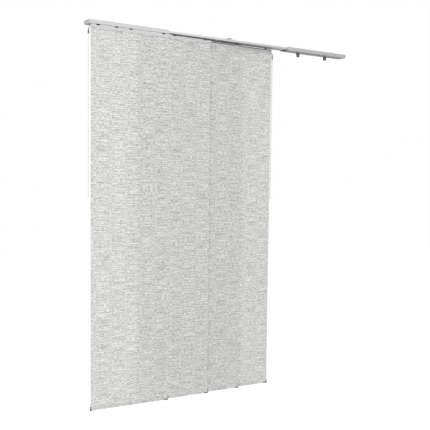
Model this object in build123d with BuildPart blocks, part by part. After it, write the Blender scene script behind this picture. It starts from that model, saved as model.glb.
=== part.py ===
from build123d import *
import os

os.makedirs("parts", exist_ok=True)

# Panel track blind with a telescoping four-channel track, drawn out to its full length.
# X runs along the track, +Y points into the wall, Z is up, all in millimetres.
# The origin is on the wall, midway between the two screw slots of the first bracket,
# and level with the underside of the track.

# Track, lengthwise
track_length = 2184.0  # over both end caps, fully drawn out
outer_length = 582.0  # an outer section with its end cap
section_overlap = 71.5  # length of the middle section inside each outer one
end_cap_thickness = 6.0
first_bracket_inset = 143.0  # bracket centre from the nearer end of the track
second_bracket_inset = 412.0

# Track, cross-section
channel_count = 4
channel_clear = 18.5  # width inside one channel of an outer section
outer_wall = 1.2
inner_wall = 1.0
slide_gap = 0.3  # between the nested sections, on every side
inner_height = 14.0
outer_slot = 8.0  # running slot under an outer channel
inner_slot = 7.0
rib_height = 3.5  # ribs along the outer slots, which the nested channels ride on
rib_thickness = 1.0
groove_clear = 3.3  # height inside the clip groove along the top
groove_lip = 6.0
outer_corner = 1.0
inner_corner = 0.6

# End caps
cap_corner = 4.5
cap_edge = 1.2
plug_length = 12.0
plug_gap = 0.3

# Saddle that ties the four middle channels, and its rivets
saddle_length = 66.0
saddle_thickness = 1.5
saddle_skirt = 6.5
saddle_skirt_wall = 1.2
rivet_spacing = 48.0
rivet_radius = 1.6
rivet_head_radius = 3.0
rivet_head_height = 1.0
fastener_gap = 0.05

# Wall brackets, clips and their screws
wall_gap = 2.0  # air between the track and the leg of a bracket
bracket_width = 30.0
bracket_thickness = 2.0
bracket_drop = 23.0  # foot of the leg below the underside of the track
bracket_foot_radius = 9.0
bracket_bend = 2.8
arm_reach = 72.0  # from the wall to the tip of the arm
arm_tip_radius = 6.0
wall_slot_spacing = 24.0
wall_slot_width = 5.5
wall_slot_length = 11.0
arm_slot_length = 22.0
arm_rise = 1.0  # underside of the arm above the top of an outer section
clip_thickness = 1.5
clip_gap = 0.3
clip_pad_depth = 40.0
screw_radius = 2.0
screw_head_radius = 4.0
screw_head_height = 2.4
screw_head_edge = 0.8

# Panels, from the one in the front channel, which is also the left one
first_panel_start = 10.8  # from the left end of the track
panel_width = 583.0
panel_overlaps = (238.8, 297.0, 304.0)  # of each panel with the next
panel_drop = 2450.0  # foot of a panel below the underside of the track

# Top rail of a panel, with the groove that its runners clip into
rail_gap = 1.0  # air between the track and the rail
rail_width = 17.0
rail_wall = 1.2
rail_groove_height = 8.0
rail_face_height = 25.0
rail_slot = 6.0
rail_cap_thickness = 1.5
rail_plug_length = 8.0
rail_window_length = 26.0
rail_window_height = 4.8
tape_thickness = 2.0
tape_height = 14.0
tape_drop = 1.5  # top of the tape below the groove

# Runners: the shares are their places along the span between the two end ones
runner_end_inset = 50.0
runner_shares = (0.0, 0.27, 0.49, 1.0)
runner_head_width = 13.0
runner_head_length = 24.0
runner_head_height = 9.0
runner_head_chamfer = 1.5
runner_neck_width = 4.6
runner_neck_length = 14.0
runner_foot_length = 22.0
runner_gap = 0.3

# Fabric, with its raised slub yarns and the hem that holds the bottom bar
fabric_thickness = 1.0
fabric_gap = 0.3
slub_pitch = 26.0
slub_height = 0.4
slub_base = 4.0
slub_crest = 1.6
slub_clear = 6.0  # plain cloth below the rail and above the hem
slub_drift = 0.4  # how far a slub strays, as a share of the pitch
slub_step = 0.618  # golden-ratio steps never repeat in rows
slub_least = 0.6  # height of the flattest slub, as a share of the usual one
hem_seam = 3.0
bar_height = 20.0
bar_thickness = 5.0
bar_wall = 1.2
bottom_cap_plate = 2.0
bottom_cap_wall = 1.0
bottom_cap_skirt = 6.0
bottom_cap_left = 8.0  # length of the skirt at the left end
bottom_cap_right = 28.0
bottom_cap_tongue = 12.0

# Wands: ring, head, rod and tip
wand_offset = 13.0  # wand axis outside the edge of its panel
eye_drop = 29.0  # eye below the underside of the track
eye_width = 6.0
eye_thickness = 2.0
ring_radius = 6.0
ring_wire_radius = 1.1
ring_gap = 0.3
head_tab_height = 9.0
head_tab_margin = 3.0
head_radius = 4.8
head_height = 18.0
head_edge = 1.6
socket_depth = 12.0
socket_gap = 0.1
rod_radius = 4.0
rod_length = 1024.0
rod_edge = 0.7
tip_radius = 5.0
tip_height = 16.0
tip_edge = 2.2

# Places along the track
left_end = -first_bracket_inset
right_end = left_end + track_length
middle_x = (left_end + right_end) / 2
inner_length = track_length - 2 * (outer_length - section_overlap)
inner_start = middle_x - inner_length / 2
rivet_places = (middle_x - rivet_spacing / 2, middle_x + rivet_spacing / 2)
bracket_places = (
    left_end + first_bracket_inset,
    left_end + second_bracket_inset,
    middle_x,
    right_end - second_bracket_inset,
    right_end - first_bracket_inset,
)
panel_lefts = [left_end + first_panel_start]
for overlap in panel_overlaps:
    panel_lefts.append(panel_lefts[-1] + panel_width - overlap)

# Places across the track, front to back
track_depth = channel_count * channel_clear + (channel_count + 1) * outer_wall
track_back = -(wall_gap + bracket_thickness)
track_front = track_back - track_depth
track_mid = (track_front + track_back) / 2
channel_pitch = channel_clear + outer_wall
channel_lines = [
    track_front + outer_wall + channel_clear / 2 + k * channel_pitch
    for k in range(channel_count)
]
inner_width = channel_clear - 2 * slide_gap

# Heights
rib_top = outer_wall + rib_height
inner_bottom = rib_top + slide_gap
inner_top = inner_bottom + inner_height
inner_lip_top = inner_bottom + inner_wall
ceiling = inner_top + slide_gap
groove_floor = ceiling + outer_wall
groove_roof = groove_floor + groove_clear
track_top = groove_roof + outer_wall
arm_bottom = track_top + arm_rise
arm_top = arm_bottom + bracket_thickness
rail_top = -rail_gap
rail_groove_bottom = rail_top - rail_groove_height
rail_foot = rail_top - rail_face_height
saddle_top = inner_top + saddle_thickness


def finish(builder, label):
    builder.part.label = label
    export_step(builder.part, f"parts/{label}.step")


# An outer section: four open channels with ribs at their slots, and a groove along the top
def make_outer_section(label, start):
    length = outer_length - end_cap_thickness
    with BuildPart() as section:
        with BuildSketch(Plane.YZ.offset(start)):
            with Locations((track_mid, track_top / 2)):
                RectangleRounded(track_depth, track_top, outer_corner)
            with Locations(*[(y, (outer_wall + ceiling) / 2) for y in channel_lines]):
                Rectangle(channel_clear, ceiling - outer_wall, mode=Mode.SUBTRACT)
            with Locations(*[(y, outer_wall / 2) for y in channel_lines]):
                Rectangle(outer_slot, 2 * outer_wall, mode=Mode.SUBTRACT)
            beside_slot = (outer_slot + rib_thickness) / 2
            for y in channel_lines:
                with Locations((y - beside_slot, rib_top / 2), (y + beside_slot, rib_top / 2)):
                    Rectangle(rib_thickness, rib_top)
            groove_width = track_depth - 2 * outer_wall
            with Locations((track_mid, (groove_floor + groove_roof) / 2)):
                Rectangle(groove_width, groove_clear, mode=Mode.SUBTRACT)
            with Locations((track_mid, track_top - outer_wall / 2)):
                Rectangle(groove_width - 2 * groove_lip, 2 * outer_wall, mode=Mode.SUBTRACT)
        extrude(amount=length)
    finish(section, label)


# One of the four channels of the middle section, drilled for the saddle's rivets
def make_inner_channel(label, y):
    with BuildPart() as channel:
        with BuildSketch(Plane.YZ.offset(inner_start)):
            with Locations((y, inner_bottom + inner_height / 2)):
                RectangleRounded(inner_width, inner_height, inner_corner)
                Rectangle(
                    inner_width - 2 * inner_wall,
                    inner_height - 2 * inner_wall,
                    mode=Mode.SUBTRACT,
                )
            with Locations((y, inner_bottom + inner_wall / 2)):
                Rectangle(inner_slot, 2 * inner_wall, mode=Mode.SUBTRACT)
        extrude(amount=inner_length)
        with BuildSketch(Plane.XY.offset(inner_top)):
            with Locations(*[(x, y) for x in rivet_places]):
                Circle(rivet_radius + fastener_gap)
        extrude(amount=-2 * inner_wall, mode=Mode.SUBTRACT)
    finish(channel, label)


# A moulded end cap with rounded corners and one plug for each channel
def make_end_cap(label, face_x, side):
    with BuildPart() as cap:
        with BuildSketch(Plane.YZ.offset(face_x)):
            with Locations((track_mid, track_top / 2)):
                Rectangle(track_depth, track_top)
        extrude(amount=side * end_cap_thickness)
        outer_face = cap.faces().sort_by(Axis.X)[-1 if side > 0 else 0]
        upright = outer_face.edges().filter_by(Axis.Z)
        fillet(upright, min(cap_corner, end_cap_thickness - cap_edge))
        outer_face = cap.faces().sort_by(Axis.X)[-1 if side > 0 else 0]
        chamfer(outer_face.edges().filter_by(Axis.Y), cap_edge)
        with BuildSketch(Plane.YZ.offset(face_x)):
            with Locations(*[(y, (rib_top + ceiling) / 2) for y in channel_lines]):
                Rectangle(
                    channel_clear - 2 * plug_gap,
                    ceiling - rib_top - 2 * plug_gap,
                )
        extrude(amount=-side * plug_length)
    finish(cap, label)


# The folded saddle across the middle channels
def make_saddle(label):
    front = channel_lines[0] - inner_width / 2
    back = channel_lines[-1] + inner_width / 2
    with BuildPart() as saddle:
        with BuildSketch(Plane.YZ.offset(middle_x - saddle_length / 2)):
            with Locations(((front + back) / 2, inner_top + saddle_thickness / 2)):
                Rectangle(back - front + 2 * saddle_skirt_wall, saddle_thickness)
            for y in (front - saddle_skirt_wall / 2, back + saddle_skirt_wall / 2):
                with Locations((y, saddle_top - (saddle_skirt + saddle_thickness) / 2)):
                    Rectangle(saddle_skirt_wall, saddle_skirt + saddle_thickness)
        extrude(amount=saddle_length)
        with BuildSketch(Plane.XY.offset(saddle_top)):
            with Locations((middle_x, track_mid)):
                with GridLocations(rivet_spacing, channel_pitch, 2, channel_count):
                    Circle(rivet_radius + fastener_gap)
                Circle(screw_radius + fastener_gap)
        extrude(amount=-2 * saddle_thickness, mode=Mode.SUBTRACT)
    finish(saddle, label)


# Two rivets for each middle channel, headed above the saddle and inside the channel
def make_rivets(label):
    inside_top = inner_top - inner_wall
    with BuildPart() as rivets:
        for plane_z, radius, height in (
            (inside_top - rivet_head_height, rivet_head_radius, rivet_head_height),
            (inside_top, rivet_radius, saddle_top - inside_top),
            (saddle_top, rivet_head_radius, rivet_head_height),
        ):
            with BuildSketch(Plane.XY.offset(plane_z)):
                with Locations((middle_x, track_mid)):
                    with GridLocations(rivet_spacing, channel_pitch, 2, channel_count):
                        Circle(radius)
            extrude(amount=height)
    finish(rivets, label)


# An angle bracket: the leg on the wall hangs below the track, the arm lies over it
def make_bracket(label, x):
    with BuildPart() as bracket:
        with BuildSketch(Plane.YZ.offset(x - bracket_width / 2)):
            with BuildLine():
                Polyline(
                    (0, -bracket_drop),
                    (0, arm_top),
                    (-arm_reach, arm_top),
                    (-arm_reach, arm_bottom),
                    (-bracket_thickness, arm_bottom),
                    (-bracket_thickness, -bracket_drop),
                    close=True,
                )
            make_face()
        extrude(amount=bracket_width)
        bend = bracket.edges().filter_by(Axis.X)
        at_wall = bend.filter_by(lambda e: e.center().Y > -bracket_thickness / 2)
        fillet(at_wall.group_by(Axis.Z)[-1], bracket_bend)
        foot = bracket.edges().filter_by(Axis.Y).group_by(Axis.Z)[0]
        fillet(foot, bracket_foot_radius)
        tip = bracket.edges().filter_by(Axis.Z).group_by(Axis.Y)[0]
        fillet(tip, arm_tip_radius)
        with BuildSketch(Plane.XZ):
            with Locations((x, wall_slot_spacing / 2), (x, -wall_slot_spacing / 2)):
                SlotOverall(wall_slot_length, wall_slot_width, rotation=90)
        extrude(amount=2 * bracket_thickness, both=True, mode=Mode.SUBTRACT)
        with BuildSketch(Plane.XY.offset(arm_top)):
            with Locations((x, track_mid)):
                SlotOverall(
                    arm_slot_length,
                    2 * (screw_radius + fastener_gap),
                    rotation=90,
                )
        extrude(amount=-2 * bracket_thickness, mode=Mode.SUBTRACT)
    finish(bracket, label)


# A spring clip that sits under the lips of the top groove, with a pad up to the arm
def make_clip(label, x):
    plate_top = groove_roof - clip_gap
    plate_depth = track_depth - 2 * (outer_wall + clip_gap)
    with BuildPart() as clip:
        with BuildSketch(Plane.XY.offset(plate_top)):
            with Locations((x, track_mid)):
                Rectangle(bracket_width, plate_depth)
        extrude(amount=-clip_thickness)
        with BuildSketch(Plane.XY.offset(plate_top)):
            with Locations((x, track_mid)):
                Rectangle(bracket_width, clip_pad_depth)
        extrude(amount=arm_bottom - plate_top)
        with Locations((x, track_mid, arm_bottom)):
            Hole(screw_radius + fastener_gap)
    finish(clip, label)


# The spacer block between the saddle and the arm of the middle bracket
def make_spacer(label):
    with BuildPart() as spacer:
        with BuildSketch(Plane.XY.offset(saddle_top)):
            with Locations((middle_x, track_mid)):
                Rectangle(bracket_width, clip_pad_depth)
                Circle(screw_radius + fastener_gap, mode=Mode.SUBTRACT)
        extrude(amount=arm_bottom - saddle_top)
    finish(spacer, label)


# Pan-head screws down through the arms
def make_screws(label, places, tip_z):
    with BuildPart() as screws:
        for x in places:
            with BuildSketch(Plane.XY.offset(tip_z)):
                with Locations((x, track_mid)):
                    Circle(screw_radius)
            extrude(amount=arm_top - tip_z)
            with BuildSketch(Plane.XY.offset(arm_top)):
                with Locations((x, track_mid)):
                    Circle(screw_head_radius)
            extrude(amount=screw_head_height)
        rims = screws.edges().filter_by(GeomType.CIRCLE).group_by(Axis.Z)[-1]
        fillet(rims, screw_head_edge)
    finish(screws, label)


make_outer_section("left_track", left_end + end_cap_thickness)
make_outer_section("right_track", right_end - outer_length)
for k in range(channel_count):
    make_inner_channel(f"inner_channel_{k + 1}", channel_lines[k])
make_end_cap("left_end_cap", left_end + end_cap_thickness, -1)
make_end_cap("right_end_cap", right_end - end_cap_thickness, 1)
make_saddle("channel_saddle")
make_rivets("saddle_rivets")
for k in range(len(bracket_places)):
    make_bracket(f"wall_bracket_{k + 1}", bracket_places[k])
for k in (0, 1, 3, 4):
    make_clip(f"track_clip_{k + 1}", bracket_places[k])
make_spacer("bracket_spacer")
clip_screw_tip = groove_roof - clip_gap - clip_thickness
make_screws("clip_screws_left", bracket_places[:2], clip_screw_tip)
make_screws("clip_screw_middle", bracket_places[2:3], inner_top)
make_screws("clip_screws_right", bracket_places[3:], clip_screw_tip)


# The shape of a rail's end: the groove box with the face hanging from its front
def draw_rail_outline(y):
    with Locations((y, rail_top - rail_groove_height / 2)):
        Rectangle(rail_width, rail_groove_height)
    with Locations((y - rail_width / 2 + rail_wall / 2, rail_top - rail_face_height / 2)):
        Rectangle(rail_wall, rail_face_height)


def runner_places(left):
    span = panel_width - 2 * runner_end_inset
    return [left + runner_end_inset + share * span for share in runner_shares]


# An extruded top rail with a window in its face at each runner
def make_top_rail(label, left, y):
    inside_width = rail_width - 2 * rail_wall
    inside_height = rail_groove_height - 2 * rail_wall
    with BuildPart() as rail:
        with BuildSketch(Plane.YZ.offset(left + rail_cap_thickness)):
            draw_rail_outline(y)
            with Locations((y, rail_top - rail_groove_height / 2)):
                Rectangle(inside_width, inside_height, mode=Mode.SUBTRACT)
            with Locations((y, rail_top - rail_wall / 2)):
                Rectangle(rail_slot, 2 * rail_wall, mode=Mode.SUBTRACT)
        extrude(amount=panel_width - 2 * rail_cap_thickness)
        with BuildSketch(Plane.XZ.offset(-(y - rail_width / 2 + rail_wall / 2))):
            with Locations(*[(x, rail_top) for x in runner_places(left)]):
                Rectangle(rail_window_length, 2 * rail_window_height)
        extrude(amount=rail_wall, both=True, mode=Mode.SUBTRACT)
    finish(rail, label)


# Moulded runners: a head on the lips of the channel, a neck, and a foot in the rail
def make_runners(label, left, y):
    head_bottom = inner_lip_top + runner_gap
    foot_top = rail_top - rail_wall - runner_gap
    foot_height = rail_groove_height - 2 * (rail_wall + runner_gap)
    foot_width = rail_width - 2 * (rail_wall + runner_gap)
    places = [(x, y) for x in runner_places(left)]
    with BuildPart() as runners:
        with BuildSketch(Plane.XY.offset(head_bottom)):
            with Locations(*places):
                Rectangle(runner_head_length, runner_head_width)
        extrude(amount=runner_head_height)
        chamfer(runners.edges().group_by(Axis.Z)[-1], runner_head_chamfer)
        with BuildSketch(Plane.XY.offset(foot_top)):
            with Locations(*places):
                Rectangle(runner_neck_length, runner_neck_width)
        extrude(amount=head_bottom - foot_top)
        with BuildSketch(Plane.XY.offset(foot_top)):
            with Locations(*places):
                Rectangle(runner_foot_length, foot_width)
        extrude(amount=-foot_height)
    finish(runners, label)


# The caps of a rail, and the eye that a wand hangs from where the panel has one
def make_rail_caps(label, left, y, eye_side):
    right = left + panel_width
    with BuildPart() as caps:
        for side, edge in ((-1, left), (1, right)):
            with BuildSketch(Plane.YZ.offset(edge)):
                draw_rail_outline(y)
            extrude(amount=-side * rail_cap_thickness)
            with BuildSketch(Plane.YZ.offset(edge - side * rail_cap_thickness)):
                with Locations((y, rail_top - rail_groove_height / 2)):
                    Rectangle(
                        rail_width - 2 * (rail_wall + runner_gap),
                        rail_groove_height - 2 * (rail_wall + runner_gap),
                    )
            extrude(amount=-side * rail_plug_length)
            if side == eye_side:
                eye = (edge + side * wand_offset, -eye_drop)
                root = (edge - side * rail_cap_thickness / 2, rail_groove_bottom)
                with BuildSketch(Plane.XZ.offset(-y)):
                    with BuildLine():
                        Polyline(
                            root,
                            (root[0], root[1] - eye_width),
                            (eye[0], eye[1] - eye_width / 2),
                            (eye[0], eye[1] + eye_width / 2),
                            (root[0], rail_top - rail_groove_height / 2),
                            close=True,
                        )
                    make_face()
                    with Locations(eye):
                        Circle(eye_width / 2)
                        Circle(ring_wire_radius + ring_gap, mode=Mode.SUBTRACT)
                extrude(amount=eye_thickness / 2, both=True)
    finish(caps, label)


# The strip of hook tape behind the face of a rail
def make_tape(label, left, y):
    face_back = y - rail_width / 2 + rail_wall
    with BuildPart() as tape:
        with BuildSketch(Plane.YZ.offset(left + rail_cap_thickness)):
            with Locations((
                face_back + tape_thickness / 2,
                rail_groove_bottom - tape_drop - tape_height / 2,
            )):
                Rectangle(tape_thickness, tape_height)
        extrude(amount=panel_width - 2 * rail_cap_thickness)
    finish(tape, label)


# Where the cloth of a panel hangs, and the hem round its bar
def fabric_front(y):
    return y - rail_width / 2 + rail_wall + tape_thickness


hem_width = bar_thickness + 2 * (fabric_gap + fabric_thickness)
pocket_width = bar_thickness + 2 * fabric_gap
pocket_height = bar_height + 2 * fabric_gap
hem_bottom = -panel_drop
bar_mid = hem_bottom + fabric_thickness + pocket_height / 2
hem_top = hem_bottom + 2 * fabric_thickness + pocket_height + hem_seam
fabric_top = rail_groove_bottom - fabric_gap


# One side of the cloth, top to bottom, with a raised slub yarn at each uneven step
def slub_line(y, outward, phase):
    top = rail_foot - slub_clear
    count = int((top - slub_clear - hem_top) / slub_pitch)
    points = [(y, fabric_top)]
    for k in range(count):
        drift = (k * slub_step + phase) % 1 - 0.5
        z = top - (k + 0.5 + slub_drift * drift) * slub_pitch
        crest = y + outward * slub_height * (slub_least + 2 * abs(drift) * (1 - slub_least))
        points.append((y, z + slub_base / 2))
        points.append((crest, z + slub_crest / 2))
        points.append((crest, z - slub_crest / 2))
        points.append((y, z - slub_base / 2))
    points.append((y, hem_top))
    return points


# The woven cloth of a panel with its sewn hem
def make_fabric(label, left, y):
    front = fabric_front(y)
    back = front + fabric_thickness
    with BuildPart() as fabric:
        with BuildSketch(Plane.YZ.offset(left)):
            with BuildLine():
                front_line = slub_line(front, -1, 0.0)
                back_line = slub_line(back, 1, 0.5)
                Polyline(*front_line, *reversed(back_line), close=True)
            make_face()
            middle = (front + back) / 2
            with Locations((middle, (hem_bottom + hem_top) / 2)):
                Rectangle(hem_width, hem_top - hem_bottom)
            with Locations((middle, bar_mid)):
                Rectangle(pocket_width, pocket_height, mode=Mode.SUBTRACT)
        extrude(amount=panel_width)
    finish(fabric, label)


# The flat hollow bar in the hem
def make_bottom_bar(label, left, y):
    middle = fabric_front(y) + fabric_thickness / 2
    with BuildPart() as bar:
        with BuildSketch(Plane.YZ.offset(left)):
            with Locations((middle, bar_mid)):
                RectangleRounded(bar_thickness, bar_height, bar_wall)
                Rectangle(
                    bar_thickness - 2 * bar_wall,
                    bar_height - 2 * bar_wall,
                    mode=Mode.SUBTRACT,
                )
        extrude(amount=panel_width)
    finish(bar, label)


# The two caps of a bar: a plate, a tongue in the bar, and a skirt round the hem's foot
def make_bottom_caps(label, left, y):
    middle = fabric_front(y) + fabric_thickness / 2
    skirt_width = hem_width + 2 * (fabric_gap + bottom_cap_wall)
    skirt_top = hem_bottom + bottom_cap_skirt
    skirt_floor = hem_bottom - fabric_gap
    skirt_foot = skirt_floor - bottom_cap_wall
    with BuildPart() as caps:
        for side, edge, skirt in (
            (-1, left, bottom_cap_left),
            (1, left + panel_width, bottom_cap_right),
        ):
            with BuildSketch(Plane.YZ.offset(edge)):
                with Locations((middle, (skirt_foot + hem_top) / 2)):
                    Rectangle(skirt_width, hem_top - skirt_foot)
            extrude(amount=side * bottom_cap_plate)
            with BuildSketch(Plane.YZ.offset(edge)):
                with Locations((middle, bar_mid)):
                    Rectangle(
                        bar_thickness - 2 * (bar_wall + plug_gap),
                        bar_height - 2 * (bar_wall + plug_gap),
                    )
            extrude(amount=-side * bottom_cap_tongue)
            with BuildSketch(Plane.YZ.offset(edge)):
                with Locations((middle, (skirt_foot + skirt_top) / 2)):
                    Rectangle(skirt_width, skirt_top - skirt_foot)
                with Locations((middle, skirt_top)):
                    Rectangle(
                        hem_width + 2 * fabric_gap,
                        2 * (skirt_top - skirt_floor),
                        mode=Mode.SUBTRACT,
                    )
            extrude(amount=-side * skirt)
    finish(caps, label)


for k in range(channel_count):
    left, y, number = panel_lefts[k], channel_lines[k], k + 1
    eye_side = {0: -1, channel_count - 1: 1}.get(k, 0)
    make_top_rail(f"top_rail_{number}", left, y)
    make_runners(f"runners_{number}", left, y)
    make_rail_caps(f"rail_caps_{number}", left, y, eye_side)
    make_tape(f"hook_tape_{number}", left, y)
    make_fabric(f"fabric_{number}", left, y)
    make_bottom_bar(f"bottom_bar_{number}", left, y)
    make_bottom_caps(f"bottom_caps_{number}", left, y)


# A wand: a steel ring through the eye, a head with a tab, the rod and its tip
def make_wand(side_name, x, y):
    ring_mid = -eye_drop - ring_radius
    tab_hole = ring_mid - ring_radius
    head_top = tab_hole - head_tab_height + head_tab_margin
    head_bottom = head_top - head_height
    rod_top = head_bottom + socket_depth
    rod_bottom = rod_top - rod_length
    tip_top = rod_bottom + socket_depth

    with BuildPart(Plane(origin=(x, y, ring_mid), z_dir=(1, 0, 0))) as ring:
        Torus(ring_radius, ring_wire_radius)
    finish(ring, f"wand_ring_{side_name}")

    with BuildPart() as head:
        with BuildSketch(Plane.XY.offset(head_bottom)):
            with Locations((x, y)):
                Circle(head_radius)
        extrude(amount=head_height)
        fillet(head.edges().group_by(Axis.Z)[-1], head_edge)
        with BuildSketch(Plane.XZ.offset(-y)):
            with Locations((x, (tab_hole + head_top) / 2 - head_tab_margin / 2)):
                Rectangle(2 * head_tab_margin, tab_hole - head_top + head_tab_margin)
            with Locations((x, tab_hole)):
                Circle(head_tab_margin)
        extrude(amount=eye_thickness / 2, both=True)
        with BuildSketch(Plane.XZ.offset(-y)):
            with Locations((x, tab_hole)):
                Circle(ring_wire_radius + ring_gap)
        extrude(amount=eye_thickness, both=True, mode=Mode.SUBTRACT)
        with BuildSketch(Plane.XY.offset(head_bottom)):
            with Locations((x, y)):
                Circle(rod_radius + socket_gap)
        extrude(amount=socket_depth, mode=Mode.SUBTRACT)
    finish(head, f"wand_head_{side_name}")

    with BuildPart() as rod:
        with BuildSketch(Plane.XY.offset(rod_bottom)) as section:
            with Locations((x, y)):
                RegularPolygon(rod_radius, 6)
            fillet(section.vertices(), rod_edge)
        extrude(amount=rod_length)
    finish(rod, f"wand_rod_{side_name}")

    with BuildPart() as tip:
        with BuildSketch(Plane.XY.offset(tip_top - tip_height)):
            with Locations((x, y)):
                Circle(tip_radius)
        extrude(amount=tip_height)
        fillet(tip.edges().group_by(Axis.Z)[0], tip_edge)
        with BuildSketch(Plane.XY.offset(tip_top)):
            with Locations((x, y)):
                Circle(rod_radius + socket_gap)
        extrude(amount=-socket_depth, mode=Mode.SUBTRACT)
    finish(tip, f"wand_tip_{side_name}")


make_wand("left", panel_lefts[0] - wand_offset, channel_lines[0])
make_wand("right", panel_lefts[-1] + panel_width + wand_offset, channel_lines[-1])
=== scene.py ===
import math

import bmesh
import bpy
from mathutils import Matrix, Vector, noise


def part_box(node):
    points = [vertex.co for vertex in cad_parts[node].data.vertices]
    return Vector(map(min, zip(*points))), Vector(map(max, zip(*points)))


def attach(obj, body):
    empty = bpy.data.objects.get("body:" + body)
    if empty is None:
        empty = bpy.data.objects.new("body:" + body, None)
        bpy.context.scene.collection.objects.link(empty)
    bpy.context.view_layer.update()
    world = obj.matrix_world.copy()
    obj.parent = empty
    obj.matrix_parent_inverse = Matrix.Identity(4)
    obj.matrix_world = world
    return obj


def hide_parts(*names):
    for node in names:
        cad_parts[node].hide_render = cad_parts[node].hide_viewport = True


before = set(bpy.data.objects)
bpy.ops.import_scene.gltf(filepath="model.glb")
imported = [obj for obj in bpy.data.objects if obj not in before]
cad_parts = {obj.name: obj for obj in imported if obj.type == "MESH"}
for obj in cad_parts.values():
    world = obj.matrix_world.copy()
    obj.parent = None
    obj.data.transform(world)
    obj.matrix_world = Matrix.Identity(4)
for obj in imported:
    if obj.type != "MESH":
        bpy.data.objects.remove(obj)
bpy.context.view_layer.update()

print("panel track blind: frame loaded,", len(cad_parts), "nodes")

panelNumbers = (1, 2, 3, 4)  # from the front channel to the rear one


def hexToLinear(code):
    # an sRGB hex colour as linear light
    channels = [int(code[i:i + 2], 16) / 255 for i in (1, 3, 5)]
    return [c / 12.92 if c <= 0.04045 else ((c + 0.055) / 1.055) ** 2.4 for c in channels] + [1.0]


def darker(colour, share):
    return [c * share for c in colour[:3]] + [1.0]


def addNode(tree, kind, settings=None, links=None):
    # a name or place in settings and links is a node property, or else one of its sockets;
    # stops are the places and colours of a ramp
    node = tree.nodes.new(kind)
    for name, value in (settings or {}).items():
        if name == "stops":
            for element, (place, colour) in zip(node.color_ramp.elements, value):
                element.position, element.color = place, colour
        elif isinstance(name, str) and name in node.bl_rna.properties:
            setattr(node, name, value)
        else:
            node.inputs[name].default_value = value
    for name, source in (links or {}).items():
        tree.links.new(source, node.inputs[name])
    return node


def newMaterial(name):
    material = bpy.data.materials.new(name)
    material.use_nodes = True
    tree = material.node_tree
    tree.nodes.clear()
    shader = addNode(tree, "ShaderNodeBsdfPrincipled")
    addNode(tree, "ShaderNodeOutputMaterial", {}, {"Surface": shader.outputs["BSDF"]})
    return material, tree, shader


def addObject(name, data):
    item = bpy.data.objects.new(name, data)
    bpy.context.scene.collection.objects.link(item)
    return item


def meshObject(name, bm, material):
    mesh = bpy.data.meshes.new(name)
    bm.to_mesh(mesh)
    bm.free()
    mesh.materials.append(material)
    return addObject(name, mesh)


def meshPiece(name, bm, material, body):
    piece = meshObject(name, bm, material)
    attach(piece, body)
    return piece


def repeatPiece(piece, count, step):
    row = piece.modifiers.new("repeat", "ARRAY")
    row.count = count
    row.use_relative_offset = False
    row.use_constant_offset = True
    row.constant_offset_displace = step


def vertsIn(geom):
    return [item for item in geom if isinstance(item, bmesh.types.BMVert)]


def facesOf(verts):
    # each face once, in the same order every run
    return list(dict.fromkeys(face for vert in verts for face in vert.link_faces))


photoCamera = {
    "place": (-2.6608, -4.9973, -1.0591),
    "yaw": 35.444,  # to the right of the wall's normal, degrees
    "pitch": 4.308,  # downwards
    "roll": 0.645,
    "focalPixels": 865.1,
    "imagePixels": 430,
    "sensor": 36.0,
    "dropPixels": 45.5,  # the view's middle lies this far below the picture's, and so far to its right
    "rightPixels": 0.5,
    "clipEnd": 100.0,
}


def makeCamera(settings):
    data = bpy.data.cameras.new("photoCamera")
    data.sensor_width = settings["sensor"]
    data.lens = settings["focalPixels"] / settings["imagePixels"] * settings["sensor"]
    data.shift_x = -settings["rightPixels"] / settings["imagePixels"]
    data.shift_y = settings["dropPixels"] / settings["imagePixels"]
    data.clip_end = settings["clipEnd"]
    camera = addObject("photoCamera", data)
    yaw, pitch, roll = (math.radians(settings[key]) for key in ("yaw", "pitch", "roll"))
    turn = Matrix.Rotation(-yaw, 3, "Z") @ Matrix.Rotation(math.pi / 2 - pitch, 3, "X")
    turn = turn @ Matrix.Rotation(roll, 3, "Z")
    camera.matrix_world = Matrix.Translation(settings["place"]) @ turn.to_4x4()
    bpy.context.scene.camera = camera


keyLamp = {
    "place": (-4.6, -6.5, -0.3),  # tall softbox left of the camera, draws the edges of the panels
    "target": (0.8, 0.0, -1.1),
    "size": (2.0, 5.6),
    "power": 372.0,
    "mirrored": False,  # lights the cloth, but leaves no glare on the aluminium
}

sheenLamp = {
    "place": (2.6, -5.0, 1.0),  # wide weak softbox that the left half of the track mirrors
    "target": (0.5, 0.0, 0.0),
    "size": (2.2, 1.2),
    "power": 23.0,
    "mirrored": True,
}


def makeLamp(name, settings):
    data = bpy.data.lights.new(name, "AREA")
    data.shape = "RECTANGLE"
    data.size, data.size_y = settings["size"]
    data.energy = settings["power"]
    lamp = addObject(name, data)
    place = settings["place"]
    aim = (Vector(settings["target"]) - Vector(place)).to_track_quat("-Z", "Y")
    lamp.matrix_world = Matrix.Translation(place) @ aim.to_matrix().to_4x4()
    lamp.visible_glossy = settings["mirrored"]


studio = {
    "white": "#ffffff",
    "worldHorizon": 0.64,  # what the white room gives to matt surfaces, level with them
    "worldZenith": 0.84,  # and from the ceiling
    "floorHeight": -3.6,  # the blind hangs clear of it, as on a tall wall
    "floorSize": 60.0,
    "floorColour": "#cecece",
    "floorRoughness": 0.9,
    "floorGlow": 0.55,  # seen directly, the floor is as white as the room
}


def seenDirectly(tree):
    # 1 where the eye, a mirror or glass looks straight at the surface
    path = addNode(tree, "ShaderNodeLightPath")
    either = addNode(tree, "ShaderNodeMath", {"operation": "MAXIMUM"},
                     {0: path.outputs["Is Camera Ray"], 1: path.outputs["Is Glossy Ray"]})
    anyOf = addNode(tree, "ShaderNodeMath", {"operation": "MAXIMUM"},
                    {0: either.outputs[0], 1: path.outputs["Is Transmission Ray"]})
    return anyOf.outputs[0]


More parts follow.
